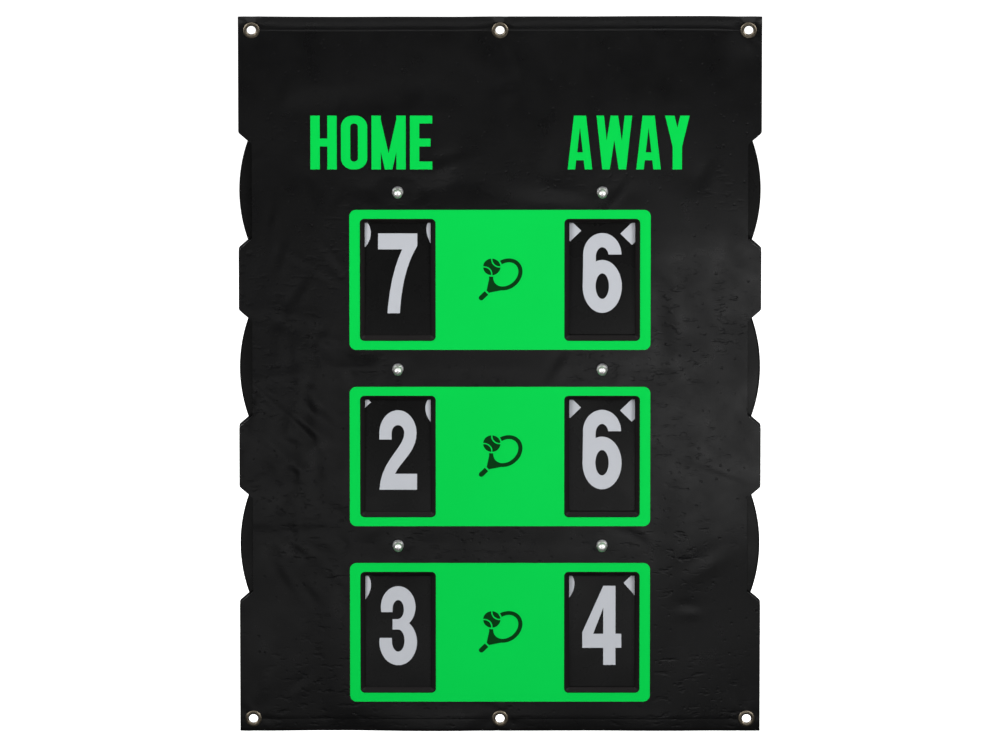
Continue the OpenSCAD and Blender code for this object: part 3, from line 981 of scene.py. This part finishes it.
@dataclass
class NumberDiscs:
    """Cut discs with a broken edge; each leans back and turns with its digits."""

    layout: Layout
    finish: Finish
    thickness: float = 1.0 * MM
    bore: float = 6.06 * MM
    edge: float = 0.25 * MM
    segments: int = 288

    def radius(self) -> float:
        """Returns the disc's radius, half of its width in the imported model."""
        low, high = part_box("number_disc_home_1")
        return (high.x - low.x) / 2

    def profile(self) -> list[tuple[float, float]]:
        """The section of a disc; the ring just inside the rim keeps the face's shading flat.

        Returns:
            (radius, depth) pairs, going once round.
        """
        rim, hole, t, e = self.radius(), self.bore, self.thickness, self.edge
        return [
            (hole, 0.2 * e), (hole + e, 0.0), (rim - 12 * e, 0.0), (rim - e, 0.0),
            (rim - 0.3 * e, 0.3 * e), (rim, e), (rim, t - e), (rim - 0.3 * e, t - 0.3 * e),
            (rim - e, t), (hole + e, t), (hole, t - 0.2 * e),
        ]

    def build(self) -> list[bpy.types.Object]:
        """Makes the six discs.

        Returns:
            The pieces.
        """
        pieces = []
        for cell, pivot in self.layout.pivots.items():
            rings = turned_rings(self.profile(), self.segments, -self.layout.axes[cell])
            piece = lofted(f"disc_{cell}", rings, True, pivot[None], self.finish)
            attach(piece, f"dial_{cell}")
            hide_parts(f"number_disc_{cell}")
            pieces.append(piece)
        return pieces


@dataclass
class Fastenings:
    """What holds the discs and the banner: dome nuts, washers and eyelets."""

    layout: Layout
    polished: Finish
    turned: Finish
    plated: Finish
    flats: float = 13.0 * MM
    nut_height: float = 15.0 * MM
    hexagon_height: float = 6.5 * MM
    dome_radius: float = 6.24 * MM
    washer_radius: float = 7.5 * MM
    washer_bore: float = 4.2 * MM
    washer: float = 1.6 * MM
    eyelet_bore: float = 6.0 * MM
    eyelet_roll: float = 1.4 * MM
    eyelet_wall: float = 0.4 * MM
    sheet: float = 1.0 * MM

    def nut_rings(self, segments: int = 72) -> np.ndarray:
        """Rings up a dome nut: a hexagon cut by a cone at both ends, a neck, and a ball's cap.

        The hexagon's radius at an angle is the flats' distance over the cosine of the angle to
        the nearest flat. The cone takes off the corners: the radius is the lesser of the two.

        Args:
            segments: points round each ring.

        Returns:
            (m, segments, 3) rings.
        """
        angle = np.arange(segments) * 2 * math.pi / segments
        to_flat = (angle + math.pi / 6) % (math.pi / 3) - math.pi / 6
        hexagon = self.flats / 2 / np.cos(to_flat)
        corner = self.flats / 2 / math.cos(math.pi / 6)
        chamfer = np.array([0, 0.25, 0.6, 1.1]) * MM
        foot = self.hexagon_height
        levels = np.concatenate([chamfer, foot - chamfer[::-1]])
        cut = 1 - np.clip(np.minimum(levels, foot - levels) / chamfer[-1], 0, 1)
        cone = corner - cut * (corner - self.flats / 2 + 0.15 * MM)
        hex_rings = np.minimum(hexagon[None], cone[:, None])
        tilt = np.linspace(0, math.pi / 2 * 0.97, 14)
        ball_foot = self.nut_height - self.dome_radius
        neck = [(self.dome_radius + 0.3 * MM, foot), (self.dome_radius, foot + 0.3 * MM)]
        cap = [(self.dome_radius * math.cos(t), ball_foot + self.dome_radius * math.sin(t)) for t in tilt]
        turned = np.array(neck + cap)
        radius = np.concatenate([hex_rings, np.repeat(turned[:, :1], segments, axis=1)])
        level = np.concatenate([levels, turned[:, 1]])[:, None] * np.ones(segments)
        return np.stack([radius * np.sin(angle), -self.washer - level, radius * np.cos(angle)], -1)

    def washer_profile(self) -> list[tuple[float, float]]:
        """A stamped washer in front of the banner: flat faces, and a rounded outer edge in front.

        Returns:
            (radius, depth) pairs, going once round.
        """
        outer, bore, t = self.washer_radius, self.washer_bore, self.washer
        return [
            (bore, 0.0), (outer, 0.0), (outer, -t + 0.4 * MM), (outer - 0.12 * MM, -t + 0.12 * MM),
            (outer - 0.4 * MM, -t), (bore, -t),
        ]

    def eyelet_profile(self) -> list[tuple[float, float]]:
        """A rolled flange, which is half an ellipse, and a barrel through the banner and its hem.

        Returns:
            (radius, depth) pairs, going once round.
        """
        bore, flange = self.eyelet_bore, self.layout.eyelet_flange
        middle, half = (bore + flange) / 2, (flange - bore) / 2
        turn = np.linspace(0, math.pi, 17)
        roll = [(middle + half * math.cos(t), -self.eyelet_roll * math.sin(t)) for t in turn]
        end = 2 * self.sheet + 2 * self.eyelet_wall
        return [*roll, (bore, end), (bore + self.eyelet_wall, end), (bore + self.eyelet_wall, 0.0)]

    def build(self) -> list[bpy.types.Object]:
        """Makes the fastenings.

        Returns:
            The pieces.
        """
        screws = self.layout.screws()
        washer_rings = turned_rings(self.washer_profile(), 48)
        eyelet_rings = turned_rings(self.eyelet_profile(), 64)
        nuts = lofted("cap_nuts", self.nut_rings(), False, screws, self.polished)
        washers = lofted("nut_washers", washer_rings, True, screws, self.turned)
        eyelets = lofted("grommets", eyelet_rings, True, self.layout.eyelets, self.plated)
        stands_for = {
            nuts: ("dome_nuts", "polished_steel"),
            washers: ("front_washers", "screw_steel"),
            eyelets: ("eyelets", "eyelet_metal"),
        }
        for piece, (node, slot) in stands_for.items():
            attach(piece, BOARD)
            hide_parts(node)
        return list(stands_for)


# Finishes -----------------------------------------------------------------------------

# PVC-coated polyester: rolled smooth over a scrim, so it has a soft broad sheen, a trace of
# the threads, small pits, patches of shallow dents from storing, and pale dust in its grain.
# The threads are drawn three times coarser than they are, so that they show.
TARPAULIN = Finish(
    "pvc_tarpaulin", "080808", "0C0C0D", tint_mm=120, roughness=0.31, spread=0.05,
    grain=Grain.CALENDERED, grain_mm=2.6, grain_height_mm=0.03, specular=0.22, dust=0.03,
)
# Rigid PVC sheet with a matt spark grain, which scatters light evenly.
BACK_SHEET = Finish(
    "rigid_pvc_sheet", "161617", "1D1D1E", tint_mm=90, roughness=0.52, spread=0.05,
    grain=Grain.MOULDED, grain_mm=1.8, grain_height_mm=0.03,
)
# Soft moulded PVC: deep black and nearly matt, so that only its slopes set it off from the discs.
SOFT_PVC = Finish(
    "moulded_soft_pvc", "0F0D0D", "151212", tint_mm=30, roughness=0.50, spread=0.04,
    grain=Grain.MOULDED, grain_mm=1.5, grain_height_mm=0.012, specular=0.13,
)
# Polystyrene sheet: flat and satin, with faint scuffs from turning.
POLYSTYRENE = Finish(
    "polystyrene_sheet", "0D0D0D", "121212", tint_mm=60, roughness=0.28, spread=0.04,
    grain=Grain.MOULDED, grain_mm=2.2, grain_height_mm=0.006, ior=1.59, specular=0.10,
)
# Cast vinyl film, bright green: even colour, nearly matt, with a slight orange peel.
GREEN_VINYL = Finish(
    "green_vinyl", "00D650", "00CE4A", tint_mm=160, roughness=0.50, spread=0.04,
    grain=Grain.PRINTED, grain_mm=3.5, grain_height_mm=0.010, specular=0.08,
)
# The same film in a green that is nearly black.
DARK_VINYL = Finish(
    "dark_green_vinyl", "01340E", "023811", tint_mm=60, roughness=0.50, spread=0.04,
    grain=Grain.PRINTED, grain_mm=3.5, grain_height_mm=0.010, specular=0.08,
)
# Matt light grey vinyl for the digits.
GREY_VINYL = Finish(
    "grey_vinyl", "C2C5CB", "BBBEC4", tint_mm=50, roughness=0.55, spread=0.04,
    grain=Grain.PRINTED, grain_mm=3.0, grain_height_mm=0.008,
)
# Stainless steel of the cap nuts: polished once and dulled since, so a highlight spreads wide.
POLISHED_STEEL = Finish(
    "polished_stainless", "F2F1EF", "E6E5E3", tint_mm=6, roughness=0.48, spread=0.05,
    grain=Grain.TURNED, grain_mm=1.2, grain_height_mm=0.004, metallic=1.0,
)
# Stainless steel of washers and screws: stamped or turned, darker and sharper in its highlights.
TURNED_STEEL = Finish(
    "turned_stainless", "B9B9BC", "A9A9AD", tint_mm=5, roughness=0.30, spread=0.06,
    grain=Grain.TURNED, grain_mm=0.8, grain_height_mm=0.006, metallic=1.0,
)
# Nickel-plated brass, gone dull and warm where hooks have rubbed it.
PLATED_BRASS = Finish(
    "nickel_plated_brass", "7D7568", "5E564A", tint_mm=7, roughness=0.38, spread=0.08,
    grain=Grain.TURNED, grain_mm=1.0, grain_height_mm=0.008, metallic=1.0,
)
# Natural nylon rod, turned to size: milky, with a dull shine.
NYLON = Finish(
    "natural_nylon", "D8D6CC", "CFCCC0", tint_mm=12, roughness=0.45, spread=0.05,
    grain=Grain.TURNED, grain_mm=0.8, grain_height_mm=0.01, ior=1.53,
)

NODE_FINISHES = {
    "front_sheet": TARPAULIN, "top_hem": TARPAULIN, "bottom_hem": TARPAULIN,
    "back_panel": BACK_SHEET,
    "window_frame_": SOFT_PVC, "number_disc_": POLYSTYRENE,
    "word_": GREEN_VINYL, "green_panel_": GREEN_VINYL, "pictogram_": DARK_VINYL, "digits_": GREY_VINYL,
    "dome_nuts": POLISHED_STEEL, "front_washers": TURNED_STEEL,
    "back_washers": TURNED_STEEL, "pivot_screws": TURNED_STEEL,
    "eyelets": PLATED_BRASS, "eyelet_washers": PLATED_BRASS,
    "bearing_sleeves": NYLON, "front_spacers_": NYLON, "rear_spacers_": NYLON,
}


def dress_nodes() -> None:
    """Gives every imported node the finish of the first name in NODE_FINISHES that it starts with."""
    for name, node in frame["nodes"].items():
        finish = next(f for start, f in NODE_FINISHES.items() if name.startswith(start))
        node.data.materials.clear()
        node.data.materials.append(finish.material())


# Studio -------------------------------------------------------------------------------


@dataclass
class Studio:
    """A white floor, soft lights and the camera, which looks down on the hanging board."""

    floor_z: float = -0.95
    floor_side: float = 60.0
    elevation: float = math.radians(17.0)
    distance: float = 30.0
    field_width: float = 1.341
    aim_z: float = 1.5 * MM
    sensor: float = 36.0
    room_glow: float = 0.05
    ceiling_glow: float = 0.45

    def floor(self) -> bpy.types.Object:
        """Lays the floor. It glows nearly white and lights nothing, so it doesn't veil the banner.

        Returns:
            The floor.
        """
        half = self.floor_side / 2
        corners = np.array([[-half, -half], [half, -half], [half, half], [-half, half]])
        points = np.column_stack([corners, np.full(4, self.floor_z)])
        paper = Finish(
            "studio_paper", "F4F4F4", "F0F0F0", tint_mm=900, roughness=0.8, spread=0.05,
            grain=Grain.MOULDED, grain_mm=4.0, grain_height_mm=0.02, glow=0.95,
        )
        piece = mesh_piece("floor", points, [[0, 1, 2, 3]], paper)
        piece.visible_glossy = False
        piece.visible_diffuse = False
        return piece

    def light(
        self, name: str, place: tuple[float, float, float], size: tuple[float, float], power: float
    ) -> None:
        """Hangs a soft rectangular light that faces the board's centre.

        Args:
            name: the light's name.
            place: its place in metres.
            size: its width and height in metres.
            power: its power in watts.
        """
        data = bpy.data.lights.new(name, "AREA")
        data.shape, data.size, data.size_y, data.energy = "RECTANGLE", size[0], size[1], power
        lamp = bpy.data.objects.new(name, data)
        lamp.location = place
        lamp.rotation_euler = (-Vector(place)).to_track_quat("-Z", "Y").to_euler()
        lamp.visible_camera = False
        bpy.context.scene.collection.objects.link(lamp)

    def world(self) -> None:
        """A white surround for the camera; a bright ceiling over a dim room lights the board."""
        made = bpy.data.worlds.new("studio")
        bpy.context.scene.world = made
        made.use_nodes = True
        tree = made.node_tree
        tree.nodes.clear()
        ray = add(tree, "ShaderNodeLightPath", {})
        seen = add(tree, "ShaderNodeBackground", {}, Color=(1.0, 1.0, 1.0, 1.0), Strength=1.0)
        way = add(tree, "ShaderNodeTexCoord", {}).outputs["Generated"]
        height = add(tree, "ShaderNodeSeparateXYZ", {}, Vector=way).outputs["Z"]
        ceiling = add(
            tree, "ShaderNodeMapRange", {"interpolation_type": "SMOOTHSTEP"}, Value=height,
            From_Min=0.15, From_Max=0.6, To_Min=self.room_glow, To_Max=self.ceiling_glow,
        ).outputs["Result"]
        lighting = add(tree, "ShaderNodeBackground", {}, Color=(1.0, 1.0, 1.0, 1.0), Strength=ceiling)
        mix = add(tree, "ShaderNodeMixShader", {}, Fac=ray.outputs["Is Camera Ray"])
        tree.links.new(lighting.outputs[0], mix.inputs[1])
        tree.links.new(seen.outputs[0], mix.inputs[2])
        add(tree, "ShaderNodeOutputWorld", {}, Surface=mix.outputs[0])

    def camera(self) -> None:
        """Sets a long lens far off, so that the whole field is as wide as the board needs."""
        data = bpy.data.cameras.new("camera")
        data.sensor_width = self.sensor
        data.lens = self.sensor * self.distance / self.field_width
        data.clip_end = 10 * self.distance
        eye = bpy.data.objects.new("camera", data)
        back = Vector((0.0, -math.cos(self.elevation), math.sin(self.elevation)))
        eye.location = back * self.distance + Vector((0.0, 0.0, self.aim_z))
        eye.rotation_euler = (-back).to_track_quat("-Z", "Y").to_euler()
        bpy.context.scene.collection.objects.link(eye)
        bpy.context.scene.camera = eye

    def build(self) -> None:
        """Sets everything up: soft lights at the sides, and low ones that the banner mirrors."""
        self.camera()
        self.floor()
        self.world()
        self.light("left_softbox", (-2.2, -1.9, 1.1), (1.2, 1.8), 56)
        self.light("right_softbox", (2.2, -1.9, 1.1), (1.2, 1.8), 60)
        self.light("top_softbox", (0.3, -0.9, 2.3), (2.4, 0.7), 9)
        self.light("front_strip", (0.0, -2.6, 1.05), (1.6, 0.3), 3)
        self.light("back_left_softbox", (2.2, 2.2, 0.9), (1.2, 1.8), 75)
        self.light("back_right_softbox", (-2.2, 2.2, 0.9), (1.2, 1.8), 75)
        self.light("low_sheen", (0.34, -1.1, -0.34), (0.3, 0.4), 1.0)
        self.light("low_fill", (-0.15, -2.2, -0.85), (1.1, 0.45), 2.1)
        bpy.context.scene.view_settings.view_transform = "Standard"


def main() -> None:
    """Builds the studio and every piece of the board."""
    logging.basicConfig(level=logging.INFO, format="%(name)s: %(message)s")
    Studio().build()
    dress_nodes()
    layout = Layout().read()
    made = [Banner(layout, TARPAULIN).build()]
    made += WindowFrames(layout, SOFT_PVC).build()
    made += NumberDiscs(layout, POLYSTYRENE).build()
    made += Fastenings(layout, POLISHED_STEEL, TURNED_STEEL, PLATED_BRASS).build()
    for piece in made:
        log.info("%s: %d faces", piece.name, len(piece.data.polygons))


if __name__ == "__main__":
    main()
